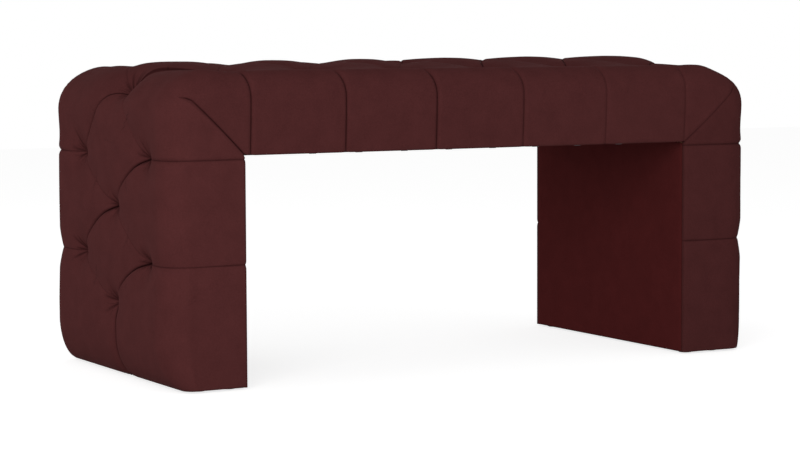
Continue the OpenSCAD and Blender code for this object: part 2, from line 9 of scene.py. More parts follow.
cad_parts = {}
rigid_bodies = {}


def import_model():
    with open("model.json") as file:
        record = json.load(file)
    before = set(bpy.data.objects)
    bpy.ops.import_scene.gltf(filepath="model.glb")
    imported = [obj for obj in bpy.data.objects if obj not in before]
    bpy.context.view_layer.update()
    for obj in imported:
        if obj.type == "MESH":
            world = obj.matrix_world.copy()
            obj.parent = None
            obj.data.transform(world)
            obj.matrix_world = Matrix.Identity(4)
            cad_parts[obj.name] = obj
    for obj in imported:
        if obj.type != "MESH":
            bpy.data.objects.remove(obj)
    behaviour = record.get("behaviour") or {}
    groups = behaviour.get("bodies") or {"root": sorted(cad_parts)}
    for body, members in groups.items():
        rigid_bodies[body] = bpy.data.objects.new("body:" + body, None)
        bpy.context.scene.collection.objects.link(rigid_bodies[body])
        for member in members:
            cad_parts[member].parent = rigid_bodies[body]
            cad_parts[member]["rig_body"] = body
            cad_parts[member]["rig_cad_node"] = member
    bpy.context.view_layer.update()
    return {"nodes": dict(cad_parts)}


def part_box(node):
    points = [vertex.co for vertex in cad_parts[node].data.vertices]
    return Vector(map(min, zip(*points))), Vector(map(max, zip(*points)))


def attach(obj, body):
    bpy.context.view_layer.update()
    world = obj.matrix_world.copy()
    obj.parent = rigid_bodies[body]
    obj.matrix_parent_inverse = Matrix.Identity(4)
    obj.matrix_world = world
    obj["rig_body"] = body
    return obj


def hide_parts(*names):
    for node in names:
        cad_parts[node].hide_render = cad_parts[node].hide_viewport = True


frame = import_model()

# Sizes of the bench in millimetres, the same as the frame's
bench = {
    "gap": 786.0, "under": 348.0, "seatThick": 139.0, "legThick": 131.0, "depth": 458.0,
    "hem": 3.0, "crown": 13.0, "edgeRadius": 42.0, "cornerRadius": 80.0, "swell": 4.0,
    "hemTuck": 38.5, "hemRise": 70.0, "hemEdge": 14.0, "bays": 5, "tuftRow": 129.0,
}
halfBay = bench["gap"] / 2 / bench["bays"]
mitre = bench["bays"] + 1
cornerOut = bench["bays"] + 2
lastTuft = bench["bays"] + 5
hemStation = cornerOut + (bench["under"] - bench["hem"]) / halfBay

print("bench: materials")


def startGroup(name, inputs, outputs):
    # A node group with its sockets, and what its nodes read from and write to
    tree = bpy.data.node_groups.new(name, "ShaderNodeTree")
    for label, value in inputs.items():
        kind = "NodeSocketVector" if value is None else "NodeSocketFloat"
        socket = tree.interface.new_socket(label, in_out="INPUT", socket_type=kind)
        if value is not None:
            socket.default_value = value
    for label in outputs:
        tree.interface.new_socket(label, in_out="OUTPUT", socket_type="NodeSocketFloat")
    return tree, tree.nodes.new("NodeGroupInput").outputs, tree.nodes.new("NodeGroupOutput").inputs


def setSocket(tree, socket, value):
    # A socket gets a value or the output of another node
    if isinstance(value, bpy.types.NodeSocket):
        tree.links.new(value, socket)
    else:
        socket.default_value = (*value, 1.0)[:4] if socket.type == "RGBA" else value


def feed(tree, node, **values):
    for name, value in values.items():
        setSocket(tree, node.inputs[name.replace("_", " ")], value)


def addNode(tree, kind, **values):
    # Names that start with in_ are sockets, and the others settings
    node = tree.nodes.new(kind)
    for key, value in values.items():
        if key.startswith("in_"):
            feed(tree, node, **{key[3:]: value})
        else:
            setattr(node, key, value)
    return node


def mathNode(tree, operation, *values):
    node = addNode(tree, "ShaderNodeMath", operation=operation)
    for slot, value in enumerate(values):
        setSocket(tree, node.inputs[slot], value)
    return node.outputs[0]


def mixColors(tree, mask, first, second, blend="MIX"):
    node = addNode(tree, "ShaderNodeMix", data_type="RGBA", blend_type=blend)
    for slot, value in ((0, mask), (6, first), (7, second)):
        setSocket(tree, node.inputs[slot], value)
    return node.outputs[2]


def linear(red, green, blue):
    # A colour as it is picked on screen, 0 to 255
    shares = (red / 255, green / 255, blue / 255)
    return tuple(((c + 0.055) / 1.055) ** 2.4 if c > 0.04045 else c / 12.92 for c in shares)


def patchesGroup():
    # Uneven light and dark patches, from two sizes of noise
    inputs = {"Vector": None, "Large": 20.0, "Small": 300.0, "Share": 0.5}
    tree, start, end = startGroup("patches", inputs, ["Value"])
    large, small = (addNode(tree, "ShaderNodeTexNoise", in_Vector=start["Vector"], in_Scale=start[scale],
                            in_Detail=detail, in_Roughness=rough).outputs[0]
                    for scale, detail, rough in (("Large", 3.0, 0.55), ("Small", 4.0, 0.65)))
    mix = addNode(tree, "ShaderNodeMix", data_type="FLOAT")
    for slot, value in ((0, start["Share"]), (2, large), (3, small)):
        setSocket(tree, mix.inputs[slot], value)
    setSocket(tree, end["Value"], mix.outputs[0])
    return tree


def grainGroup():
    # Growth rings and fine fibres of wood that runs along X of its vector
    tree, start, end = startGroup("woodGrain", {"Vector": None, "Rings": 60.0}, ["Value", "Fibres"])
    stretch = addNode(tree, "ShaderNodeMapping", in_Vector=start["Vector"], in_Scale=(0.06, 1.0, 1.0))
    place = stretch.outputs[0]
    wave = addNode(tree, "ShaderNodeTexWave", wave_type="BANDS", bands_direction="DIAGONAL", in_Vector=place,
                   in_Scale=start["Rings"], in_Distortion=6.0, in_Detail=3.0, in_Detail_Scale=0.6)
    fibres = addNode(tree, "ShaderNodeTexNoise", in_Vector=place, in_Scale=900.0, in_Detail=2.0)
    setSocket(tree, end["Value"], wave.outputs["Fac"])
    setSocket(tree, end["Fibres"], fibres.outputs[0])
    return tree


patches = patchesGroup()
woodGrain = grainGroup()


def startMaterial(name, color, roughness, **values):
    material = bpy.data.materials.new(name)
    material.use_nodes = True
    material.diffuse_color = (*color, 1.0)
    tree = material.node_tree
    shader = tree.nodes["Principled BSDF"]
    feed(tree, shader, Base_Color=color, Roughness=roughness, **values)
    place = addNode(tree, "ShaderNodeTexCoord").outputs["Object"]
    return material, tree, shader, place


def bumpNode(tree, height, strength, distance, **values):
    return addNode(tree, "ShaderNodeBump", in_Height=height, in_Strength=strength, in_Distance=distance,
                   **values).outputs[0]


def patchTexture(large, small, share):
    sizes = {"in_Large": large, "in_Small": small, "in_Share": share}
    return "ShaderNodeGroup", "Value", {"node_tree": patches, **sizes}


def textureNode(tree, place, kind, output, values):
    return addNode(tree, kind, **values, in_Vector=place).outputs[output]


# The lining colour is the velvet made deeper and redder, and the darkest colour is that of the bottoms of
# folds: both are painted shade. The pile amount also paints the left leg lighter and the right leg darker,
# and the ray darkness paints shade into the tufts' creases
velvetLook = {
    "color": linear(75, 38, 38), "liningColor": linear(76, 29, 29), "deep": linear(22, 4, 5),
    "roughness": 1.0, "specular": 0.02, "patchAmount": 0.11, "napAmount": 0.1, "pileBump": 0.2,
    "rayReach": 0.036, "rayHeight": 0.0016, "rayDark": 0.6,
}


def raysGroup():
    # Fine creases that run out from a tuft, from the way to the nearest tuft; the value bumps the cloth and
    # also paints shade into the creases
    tree, start, end = startGroup("tuftRays", {"Way": None, "Reach": 0.03}, ["Value"])

    def part(operation, *values):
        return mathNode(tree, operation, *values)

    x, y, number = addNode(tree, "ShaderNodeSeparateXYZ", in_Vector=start["Way"]).outputs
    far = part("SQRT", part("ADD", part("MULTIPLY", x, x), part("MULTIPLY", y, y)))
    safe = part("MAXIMUM", far, 0.0005)
    # the way as a direction, with each tuft and distance at its own place of the noise
    drift = part("ADD", part("MULTIPLY", number, 5.3), part("MULTIPLY", far, 9.0))
    turn = addNode(tree, "ShaderNodeCombineXYZ", in_X=part("DIVIDE", x, safe), in_Y=part("DIVIDE", y, safe),
                   in_Z=drift).outputs[0]
    waves = addNode(tree, "ShaderNodeTexNoise", in_Vector=turn, in_Scale=2.3, in_Detail=1.5, in_Roughness=0.5)
    ridge = part("ABSOLUTE", part("SUBTRACT", waves.outputs[0], 0.5))
    line = addNode(tree, "ShaderNodeMapRange", interpolation_type="SMOOTHSTEP", in_Value=ridge,
                   in_From_Min=0.035, in_From_Max=0.0).outputs[0]
    share = part("SUBTRACT", 1.0, part("DIVIDE", far, start["Reach"]))
    fade = part("POWER", part("MAXIMUM", share, 0.0), 1.6)
    # a cloth without tufts has no way to one, and no creases
    fade = part("MULTIPLY", fade, part("MINIMUM", part("MULTIPLY", far, 2000.0), 1.0))
    setSocket(tree, end["Value"], part("MULTIPLY", line, fade))
    return tree


tuftRays = raysGroup()


def attributeOf(tree, name, output="Fac"):
    return addNode(tree, "ShaderNodeAttribute", attribute_name=name).outputs[output]


def spreadMask(tree, value, low, high):
    return addNode(tree, "ShaderNodeMapRange", in_Value=value, in_From_Min=low, in_From_Max=high).outputs[0]


def velvetMaterial(name, color):
    look = velvetLook
    material, tree, shader, place = startMaterial(
        name, color, look["roughness"], Specular_IOR_Level=look["specular"])
    mottle = textureNode(tree, place, *patchTexture(34.0, 420.0, 0.6))
    dark, light = (tuple(c * (1 + sign * look["patchAmount"]) for c in color) for sign in (-1, 1))
    tone = mixColors(tree, spreadMask(tree, mottle, 0.36, 0.64), dark, light)
    # The pile leans along the cloth, so parts that run another way look lighter or darker; this tone also
    # holds painted light and shade, lighter on the left leg and darker on the right leg
    against, along = ((1 + sign * look["napAmount"],) * 3 for sign in (-1, 1))
    napAndShadeTone = mixColors(tree, spreadMask(tree, attributeOf(tree, "nap"), -1.0, 1.0), against, along)
    tone = mixColors(tree, 1.0, tone, napAndShadeTone, "MULTIPLY")
    # Painted shade: the colour darkens at the bottom of folds and along the creases from the tufts, where
    # little light comes back
    rays = addNode(tree, "ShaderNodeGroup", node_tree=tuftRays, in_Way=attributeOf(tree, "tuftWay", "Vector"),
                   in_Reach=look["rayReach"]).outputs[0]
    rayShade = mathNode(tree, "MULTIPLY", rays, look["rayDark"])
    shade = mathNode(tree, "MAXIMUM", attributeOf(tree, "fold"), rayShade)
    pile = textureNode(tree, place, *patchTexture(700.0, 1900.0, 0.5))
    creases = bumpNode(tree, rays, 1.0, look["rayHeight"], invert=True)
    feed(tree, shader, Base_Color=mixColors(tree, shade, tone, look["deep"]),
         Normal=bumpNode(tree, pile, look["pileBump"], 0.0008, in_Normal=creases))
    return material


def patternMaterial(name, color, roughness, tones, texture, bump, rough=None, **values):
    # The texture mixes two tones and lifts the surface, and roughens it by a factor and an offset
    material, tree, shader, place = startMaterial(name, color, roughness, **values)
    height = textureNode(tree, place, *texture)
    feed(tree, shader, Base_Color=mixColors(tree, height, *tones), Normal=bumpNode(tree, height, *bump))
    if rough:
        feed(tree, shader, Roughness=mathNode(tree, "MULTIPLY_ADD", height, *rough))
    return material


def timberMaterial(name, turn, light, dark, rings):
    material, tree, shader, place = startMaterial(name, light, 0.62)
    lay = addNode(tree, "ShaderNodeMapping", in_Vector=place, in_Rotation=turn).outputs[0]
    wood = addNode(tree, "ShaderNodeGroup", node_tree=woodGrain, in_Vector=lay, in_Rings=rings)
    grain, fibres = wood.outputs
    tone = mixColors(tree, grain, light, dark)
    fibreTone = mixColors(tree, fibres, (0.86, 0.86, 0.86), (1.08, 1.08, 1.08))
    feed(tree, shader, Base_Color=mixColors(tree, 1.0, tone, fibreTone, "MULTIPLY"),
         Roughness=mathNode(tree, "MULTIPLY_ADD", fibres, 0.3, 0.45),
         Normal=bumpNode(tree, fibres, 0.25, 0.0003))
    return material


def zincMaterial(name, dark, light):
    return patternMaterial(name, light, 0.32, (dark, light), patchTexture(260.0, 2200.0, 0.4),
                           (0.15, 0.0002), (0.3, 0.2), Metallic=1.0)


upright = (0.0, math.radians(90), 0.0)
acrossDepth = (0.0, 0.0, math.radians(90))
velvet = velvetMaterial("wineVelvet", velvetLook["color"])
# the linings get the same velvet painted deeper and redder, as painted shade for the panels under the seat
shadedLiningVelvet = velvetMaterial("wineVelvetLining", velvetLook["liningColor"])
blackCloth = patternMaterial(
    "blackLiningCloth", linear(14, 14, 15), 0.9, (linear(8, 8, 9), linear(26, 26, 28)),
    patchTexture(160.0, 1300.0, 0.6), (0.5, 0.0004), Specular_IOR_Level=0.2)
foam = patternMaterial(
    "paleFoam", linear(231, 219, 179), 0.95, (linear(236, 226, 190), linear(206, 190, 148)),
    ("ShaderNodeTexVoronoi", "Distance", {"in_Scale": 750.0}), (0.6, 0.0008))
paleWood = (linear(222, 190, 140), linear(188, 146, 96))
plyWood = (linear(214, 180, 132), linear(178, 138, 92))
railTimber = timberMaterial("railTimber", (0, 0, 0), *paleWood, 70.0)
crossTimber = timberMaterial("crossTimber", acrossDepth, *paleWood, 70.0)
postTimber = timberMaterial("postTimber", upright, *paleWood, 70.0)
boardPly = timberMaterial("boardPly", (0, 0, 0), *plyWood, 26.0)
panelPly = timberMaterial("panelPly", upright, *plyWood, 26.0)
zinc = zincMaterial("brightZinc", linear(168, 171, 178), linear(202, 204, 206))
# darker zinc for the staples under the seat: painted shade, as they sit in the seat's shadow
dullZinc = zincMaterial("dullZinc", linear(62, 63, 66), linear(88, 89, 92))
twine = patternMaterial(
    "waxedTwine", linear(218, 209, 182), 0.6, (linear(224, 216, 192), linear(176, 162, 128)),
    ("ShaderNodeTexWave", "Fac", {"wave_type": "BANDS", "bands_direction": "DIAGONAL",
                                  "in_Scale": 420.0, "in_Distortion": 1.5}), (0.7, 0.0004))
nylon = patternMaterial(
    "blackNylon", linear(17, 17, 19), 0.42, (linear(13, 13, 15), linear(30, 30, 32)),
    patchTexture(120.0, 1500.0, 0.5), (0.12, 0.0003), (0.35, 0.25))


def legNodes(*parts):
    return [f"leg_{side}_{part}" for side in ("left", "right") for part in parts]


finishes = [
    (railTimber, ["seat_front_rail", "seat_back_rail"]),
    (crossTimber, ["seat_left_end_rail", "seat_right_end_rail", "seat_cross_rails", "corner_blocks",
                   *legNodes("top_rail", "mid_rail")]),
    (postTimber, legNodes("front_post", "back_post")),
    (boardPly, ["seat_deck", *legNodes("base_plate")]),
    (panelPly, legNodes("outer_panel", "inner_panel")),
    (zinc, ["frame_bolts", "frame_washers", "frame_nuts", "deck_screws", "glide_nails", *legNodes("screws")]),
    # the staples get the darker zinc, which is painted shade
    (dullZinc, ["dust_cover_staples"]),
    (twine, ["tuft_twines"]),
    (nylon, ["tuft_toggles", "glides"]),
]
for material, names in finishes:
    for name in names:
        slots = frame["nodes"][name].data.materials
        slots.clear()
        slots.append(material)

print("bench: tufted cover")

# How the padding and the cloth lie. Lengths in millimetres, places along the bench in half bays. The
# wrinkles' darkness is painted shade in their creases
coverLook = {
    "seed": 7, "unevenness": 0.9, "foldUnevenness": 0.1, "groovePower": 2.6, "sewnShare": 0.1,
    "tuftDepth": 22.0, "tuftReach": 25.0, "tuftPower": 1.25, "cornerTuftDepth": 41.0, "cornerTuftReach": 34.0,
    "tuftDrop": {6: 0.02, 7: 0.07, 8: 0.05, 9: 0.06, 10: -0.06},
    "tuftAside": {6: -26.0, 7: -8.0, 8: -8.0, 9: -5.0, 10: -4.0},
    "outerMiddle": 175.0, "lowMiddle": (10.35, 165.0), "backRightShare": 0.45, "rightFoldShare": 0.55,
    "foldDepth": 12.0, "underBroad": 7.5, "lipBroad": 4.8, "lap": 2.2, "lapAt": 2.2,
    "bow": 9.0, "cornerBow": 3.0,
    "softDepth": 7.0, "softReach": 62.0, "softRound": 11.0, "softPower": 1.8, "softBow": 4.0,
    "cornerSoftDepth": 6.5, "softLineShare": 0.7, "softLine": 2.0,
    "pleatDepth": 6.5, "backPleatDepth": 4.8, "facePleatDepth": 3.5, "legPleatShare": 0.8,
    "pleatReach": 13.0, "facePleatReach": 7.0, "pleatPower": 2.4, "pleatLean": 0.125,
    "dartDepth": 3.0, "dartFade": 0.12, "endDip": 5.5, "endDipFade": 100.0,
    "hemFoldDepth": 11.0, "hemFoldLeft": 0.35, "hemFoldAside": 18.0, "hemFoldTurn": 0.4,
    "shelfDepth": 13.0, "rightShelfShare": 0.65, "shelfBack": 7.0, "shelfLip": 0.3,
    "seamRadius": 2.5, "seamTurn": 7.0, "hemRadius": 1.5, "hemTurn": 11.0, "hemFloor": 2.9, "hemRise": 0.35,
    "rightSag": 6.5, "cornerShoulder": 6.0, "rightHemTuck": 21.0,
    "seatDrop": 1.0, "endDrop": 1.5, "lowFullness": 2.5, "rightLowFullness": -1.0, "fullnessPower": 0.8,
    "wrinkleDepth": 2.6, "wrinkleWidth": 1.3, "wrinkleSpread": 0.04, "wrinkleDark": 0.55,
}
# Mitre darts of the left and right end: places of the foot and the top along the bench, distance of
# the top from the middle line, length of the hook, and how strong the dart is
darts = {
    -1: {"foot": 5.98, "top": 6.12, "end": 225.0, "hook": 0.08, "strength": 1.0},
    1: {"foot": 6.14, "top": 6.08, "end": 220.0, "hook": 0.0, "strength": 0.5},
}
# Reach and steepness of the slopes beside a groove
slopes = {
    "lip": (5.5, 2.0), "lipBroad": (50.0, 1.8), "under": (6.0, 2.0), "underBroad": (48.0, 1.7),
    "shelf": (90.0, 1.2), "shelfBack": (42.0, 1.8), "softLine": (7.0, 2.0), "endDip": (34.0, 1.3),
    "hemFold": (24.0, 2.0), "dart": (6.0, 2.0),
}
# Darkness and width of the painted shade lines at the bottom of a groove
paintedGrooveShade = {
    "shelf": (0.6, 0.9), "lip": (0.9, 1.1), "mitreLip": (0.9, 2.0), "under": (0.9, 1.9), "soft": (0.4, 1.4),
    "pleat": (1.0, 0.9), "hemFoldFront": (0.85, 1.2), "hemFoldBack": (0.85, 2.6), "dart": (0.85, 1.0),
    "tuft": (0.9, 4.5),
}
# Rings and steps of the mesh of each lump, and points along the lines that its grooves follow
coverMesh = {
    "rings": 28, "ringPower": 1.6, "nearStep": 1.0, "stepGrowth": 0.075, "farStep": 4.6,
    "cornerSeamShare": 0.45, "sideSamples": 111, "dartSamples": 80,
}
edgeTop = bench["depth"] / 2 + bench["swell"] - bench["edgeRadius"]
edgeLength = bench["edgeRadius"] * math.pi / 2
faceLength = bench["seatThick"] - bench["crown"] - bench["edgeRadius"]
edgeEnd = edgeTop + edgeLength
faceEnd = edgeEnd + faceLength
seamEnd = faceEnd + coverLook["seamRadius"] * math.pi / 2
coverEnd = seamEnd + coverLook["seamTurn"]
hemLow = hemStation - (coverLook["hemFloor"] + coverLook["hemRadius"] - bench["hem"]) / halfBay
hemEnd = hemLow + (coverLook["hemRadius"] * math.pi / 2 + coverLook["hemTurn"]) / halfBay


def crestReach(turn, side):
    # Distance from the inner corner to the crest of the rounded upper corner
    leg, seat, radius = bench["legThick"], bench["seatThick"], bench["cornerRadius"]
    cx, cz = leg - radius, seat - radius
    dx, dz = np.sin(turn), np.cos(turn)
    along = dx * cx + dz * cz
    rounded = along + np.sqrt(np.maximum(0, along ** 2 - cx ** 2 - cz ** 2 + radius ** 2))
    flatTop, flatSide = seat / np.maximum(dz, 1e-6), leg / np.maximum(dx, 1e-6)
    reach = np.where(seat * dx <= cx * dz, flatTop, np.where(leg * dz <= cz * dx, flatSide, rounded))
    # the padding bulges out at the shoulder, and on the right it has settled a little over the end
    degrees = np.degrees(turn)
    sag = np.where(side > 0, np.sin(math.pi * np.clip((degrees - 10) / 50, 0, 1)) ** 2, 0)
    shoulder = np.sin(math.pi * np.clip((degrees - 30) / 56, 0, 1)) ** 2
    return reach - coverLook["rightSag"] * sag + coverLook["cornerShoulder"] * shoulder


def stationHeight(k):
    return bench["under"] - (k - cornerOut) * halfBay


def hemShare(k):
    down = 1 - np.clip((stationHeight(k) - bench["hem"]) / bench["hemRise"], 0, 1)
    return np.where(k > cornerOut, 1 - np.sqrt(np.maximum(0, 1 - down ** 2)), 0)


def turnAt(k):
    return math.radians(90) * np.clip((k - bench["bays"]) / 2, 0, 1)


def crestHeight(k, side):
    tuck = np.where(side > 0, coverLook["rightHemTuck"], bench["hemTuck"])
    return np.where(k < cornerOut, crestReach(turnAt(k), side), bench["legThick"] - tuck * hemShare(k))


def smoothPoint(k, side, lift, y):
    # A point at a lift above the seam line of its station
    turn = turnAt(k)
    base = np.where(k > cornerOut, stationHeight(k), bench["under"])
    return np.stack([side * (np.minimum(k, bench["bays"]) * halfBay + lift * np.sin(turn)), y,
                     base + lift * np.cos(turn)], axis=-1)


def smoothSurface(m, q):
    # Point and outward direction of the untufted form at station m, q millimetres from the middle line
    side = np.where(m < 0, -1.0, 1.0)
    past = np.maximum(0, np.abs(m) - hemLow) * halfBay
    k = np.minimum(np.abs(m), hemLow)
    w, face = np.abs(q), np.where(q < 0, -1.0, 1.0)
    r, half = coverLook["seamRadius"], bench["depth"] / 2
    radius = bench["edgeRadius"] + (bench["hemEdge"] - bench["edgeRadius"]) * hemShare(k)
    start = half + bench["swell"] - radius
    fall = bench["crown"] * np.cos(turnAt(k))
    height = crestHeight(k, side)
    edgeHeight = height - fall
    # over the top
    v = np.minimum(w, edgeTop) * start / edgeTop
    wave = math.pi / 2 * v / start
    lift = height - fall * np.sin(wave) ** 2
    y = v.copy()
    slope = fall * np.sin(2 * wave) * math.pi / 2 / start
    outward = np.stack([np.cos(np.arctan(slope)), np.sin(np.arctan(slope))], -1)
    # round the edge
    onEdge = w > edgeTop
    angle = math.pi / 2 * (1 - np.clip((w - edgeTop) / edgeLength, 0, 1))
    lift = np.where(onEdge, edgeHeight - radius + radius * np.sin(angle), lift)
    y = np.where(onEdge, start + radius * np.cos(angle), y)
    outward = np.where(onEdge[..., None], np.stack([np.sin(angle), np.cos(angle)], -1), outward)
    # down the face
    onFace = w > edgeEnd
    share = 1 - np.clip((w - edgeEnd) / faceLength, 0, 1)
    lift = np.where(onFace, r + share * (edgeHeight - radius - r), lift)
    y = np.where(onFace, half + bench["swell"] * np.sin(math.pi / 2 * share), y)
    outward = np.where(onFace[..., None], np.array([0.0, 1.0]), outward)
    # round the seam and in behind the lining
    onSeam = w > faceEnd
    bend = np.clip((w - faceEnd) / (seamEnd - faceEnd), 0, 1) * math.pi / 2
    inward = np.maximum(0, w - seamEnd)
    lift = np.where(onSeam, r - r * np.sin(bend) + 0.12 * inward, lift)
    y = np.where(onSeam, half - r + r * np.cos(bend) - inward, y)
    outward = np.where(onSeam[..., None], np.stack([-np.sin(bend), np.cos(bend)], -1), outward)
    # round the lower edge and in over the base
    hemRadius = coverLook["hemRadius"]
    bend = np.clip(past / (hemRadius * math.pi / 2), 0, 1) * math.pi / 2
    inward = np.maximum(0, past - hemRadius * math.pi / 2)
    tucked = np.minimum(1, lift / 40)
    inset = tucked * (hemRadius * (1 - np.cos(bend)) + inward)
    point = smoothPoint(k, side, lift - inset * outward[..., 0], face * (y - inset * outward[..., 1]))
    point[..., 2] += coverLook["hemRise"] * tucked * inward - hemRadius * np.sin(bend)
    # the direction comes from the slope of the crest at this station
    step = 0.004
    low, high = np.maximum(k - step, 0), k + step
    along = (smoothPoint(high, 1.0, crestHeight(high, side), 0 * y)
             - smoothPoint(low, 1.0, crestHeight(low, side), 0 * y))
    along /= np.linalg.norm(along, axis=-1, keepdims=True)
    up = np.stack([-along[..., 2] * side, 0 * y, along[..., 0]], -1)
    normal = outward[..., :1] * up + outward[..., 1:] * face[..., None] * np.array([0.0, 1.0, 0.0])
    normal = normal / np.linalg.norm(normal, axis=-1, keepdims=True)
    return point, normal


def steps(length, nearStart, nearEnd):
    # Shares from 0 to 1 along a side, close together where it starts or ends at a tuft
    near, far, growth = coverMesh["nearStep"], coverMesh["farStep"], coverMesh["stepGrowth"]
    places, at = [0.0], 0.0
    while at < length:
        gapStart = near + growth * at if nearStart else far
        gapEnd = near + growth * (length - at) if nearEnd else far
        at += min(far, gapStart, max(near, gapEnd))
        places.append(at)
    return np.array(places) / places[-1]


def smooth(share):
    share = np.clip(share, 0, 1)
    return share * share * (3 - 2 * share)


def sidePath(side, shares):
    # A side of a lump: a fold bows towards the lump that it laps over, and a front pleat leans
    start, end = np.array(side["start"]), np.array(side["end"])
    path = start + shares[:, None] * (end - start)
    if side["kind"] == "pleat":
        gone = smooth((np.abs(path[:, 1]) - bench["tuftRow"]) / (edgeEnd - bench["tuftRow"]))
        path[:, 0] = start[0] + (end[0] - start[0]) * gone
    if side["kind"] == "hemFold":
        path[:, 1] = start[1] + (end[1] - start[1]) * smooth(shares / coverLook["hemFoldTurn"])
    if side["bow"]:
        chord = (end - start) * np.array([halfBay, 1.0])
        across = np.array([-chord[1], chord[0]]) / np.linalg.norm(chord)
        if across[1] < 0:
            across = -across
        bow = side["bow"] * np.sin(math.pi * shares)[:, None] * across
        path = path + bow / np.array([halfBay, 1.0])
    return path


def settled(m):
    # The tufts of the legs hang a little below their even places
    return math.copysign(abs(m) + coverLook["tuftDrop"].get(abs(m), 0.0), m)


def asideAt(m):
    # The tufts of the legs have slipped a little to the front, the corner tuft most
    return coverLook["tuftAside"].get(abs(m), 0.0)


def seamPlace(m, face):
    # Where a pleat ends at the seam
    onFront = face < 0 and abs(m) <= bench["bays"]
    lean = coverLook["pleatLean"] * (1 - ((m + 2.3) / 7.3) ** 2) if onFront else 0.0
    return (settled(m) + lean, face * coverEnd)


def plainSide(start, end, kind, tufts=(False, False), bow=0.0, shelf=False):
    return {"start": start, "end": end, "kind": kind, "tufts": tufts, "bow": bow, "shelf": shelf,
            "flip": False}


def reverseSide(side):
    return {**side, "flip": not side["flip"]}


def foldSide(k1, q1, k2, q2, sign):
    # A fold from a tuft to the next one further along; it is crisp where it also runs to the back
    start, end = ((sign * settled(k), q + asideAt(k)) for k, q in ((k1, q1), (k2, q2)))
    if q2 < q1:
        return plainSide(start, end, "soft", (True, True), coverLook["softBow"])
    bow = coverLook["cornerBow" if k1 == mitre else "bow"]
    return plainSide(start, end, "crisp", (True, True), bow, k2 == mitre)


def pleatSide(m, face):
    start = (settled(m), face * bench["tuftRow"] + asideAt(m))
    return plainSide(start, seamPlace(m, face), "pleat", (True, False))


def lumps():
    # Every padded lump between folds: its middle and its sides in order
    found = []
    row = bench["tuftRow"]
    for m in range(-9, 10, 2):
        sign, k = (-1 if m < 0 else 1), abs(m)
        found.append({"middle": (m, 0.0), "sides": [
            foldSide(k - 1, 0.0, k, row, sign), foldSide(k, row, k + 1, 0.0, sign),
            reverseSide(foldSide(k, -row, k + 1, 0.0, sign)),
            reverseSide(foldSide(k - 1, 0.0, k, -row, sign))]})
    for face in (-1, 1):
        for m in range(-8, 9, 2):
            sign, k = (-1 if m < 0 else 1), abs(m)
            # the middle lump mirrors the fold on its other side
            mirrored = reverseSide(foldSide(0, 0.0, 1, face * row, -1))
            first = foldSide(k - 1, face * row, k, 0.0, sign) if m else mirrored
            ends = (sign * (k - 1), sign * (k + 1))
            sides = [first, foldSide(k, 0.0, k + 1, face * row, sign), pleatSide(ends[1], face)]
            middle = (m, face * coverLook["outerMiddle"])
            if abs(m) == mitre:
                dart = darts[sign]
                foot = (sign * dart["foot"], face * coverEnd)
                middle = (sign * dart["top"], face * dart["end"])
                sides += [plainSide(seamPlace(ends[1], face), foot, "seam", (False, True)),
                          plainSide(foot, seamPlace(ends[0], face), "seam", (True, False))]
            else:
                sides.append(plainSide(seamPlace(ends[1], face), seamPlace(ends[0], face), "seam"))
            sides.append(reverseSide(pleatSide(ends[0], face)))
            found.append({"middle": middle, "sides": sides})
        for sign in (-1, 1):
            low, aside = sign * hemEnd, -coverLook["hemFoldAside"]
            lowTuft = (sign * settled(lastTuft), asideAt(lastTuft))
            station, across = coverLook["lowMiddle"]
            found.append({"middle": (sign * station, face * across), "sides": [
                foldSide(lastTuft - 1, face * row, lastTuft, 0.0, sign),
                plainSide(lowTuft, (low, aside), "hemFold", (True, False)),
                plainSide((low, aside), (low, face * coverEnd), "hem"),
                plainSide((low, face * coverEnd), seamPlace(sign * (lastTuft - 1), face), "seam"),
                reverseSide(pleatSide(sign * (lastTuft - 1), face))]})
    return found


def falloff(distance, reach, power):
    return np.maximum(0, 1 - distance / reach) ** power


def bell(distance, width):
    return np.exp(-(distance / width) ** 2)


def grooveShadeLine(name, distance):
    # painted shade along the bottom of a groove, darkest in its middle
    darkness, width = paintedGrooveShade[name]
    return darkness * bell(distance, width)


def pleatStrength(m):
    # The pleats are drawn tighter on the left
    if abs(m) > bench["bays"]:
        return coverLook["legPleatShare"]
    return float(np.interp(m, (-1, 1, 3, 5), (1.0, 0.8, 0.6, 0.55)))


def foldStrength(side):
    # The seat is worn smoother on the right
    m = (side["start"][0] + side["end"][0]) / 2
    return coverLook["rightFoldShare"] if 0 < m < bench["bays"] else 1.0


def grooveDepth(side, share, across):
    # Depth of the groove along a side, as the side runs from its start to its end
    look = coverLook
    (startM, startQ), (endM, endQ) = side["start"], side["end"]
    uneven = 1 + look["foldUnevenness"] * math.sin(37.0 * startM + 3.1 * endQ + 1.7 * endM)
    if side["kind"] == "crisp":
        depth = look["foldDepth"] * foldStrength(side) * np.ones_like(share)
    elif side["kind"] == "soft":
        atCorner = mitre in (round(abs(startM)), round(abs(endM)))
        depth = look["cornerSoftDepth" if atCorner else "softDepth"] * np.ones_like(share)
    elif side["kind"] == "pleat":
        down = np.clip((across - edgeTop) / edgeLength, 0, 1)
        end = np.clip((coverEnd - across) / (coverEnd - faceEnd + 12), 0, 1)
        top = look["backPleatDepth" if startQ > 0 else "pleatDepth"]
        depth = (top + (look["facePleatDepth"] - top) * down) * (0.35 + 0.65 * end) * pleatStrength(startM)
    else:
        depth = look["hemFoldDepth"] * (1 + (look["hemFoldLeft"] - 1) * share ** 2)
    return depth * uneven


def tuftPlaces():
    # Station, distance across, and whether it is at a corner, for every tuft
    places = []
    for m in range(-lastTuft, lastTuft + 1):
        for q in (0.0,) if m % 2 == 0 else (bench["tuftRow"], -bench["tuftRow"]):
            places.append((settled(m), q + asideAt(m), abs(m) == mitre))
    return places


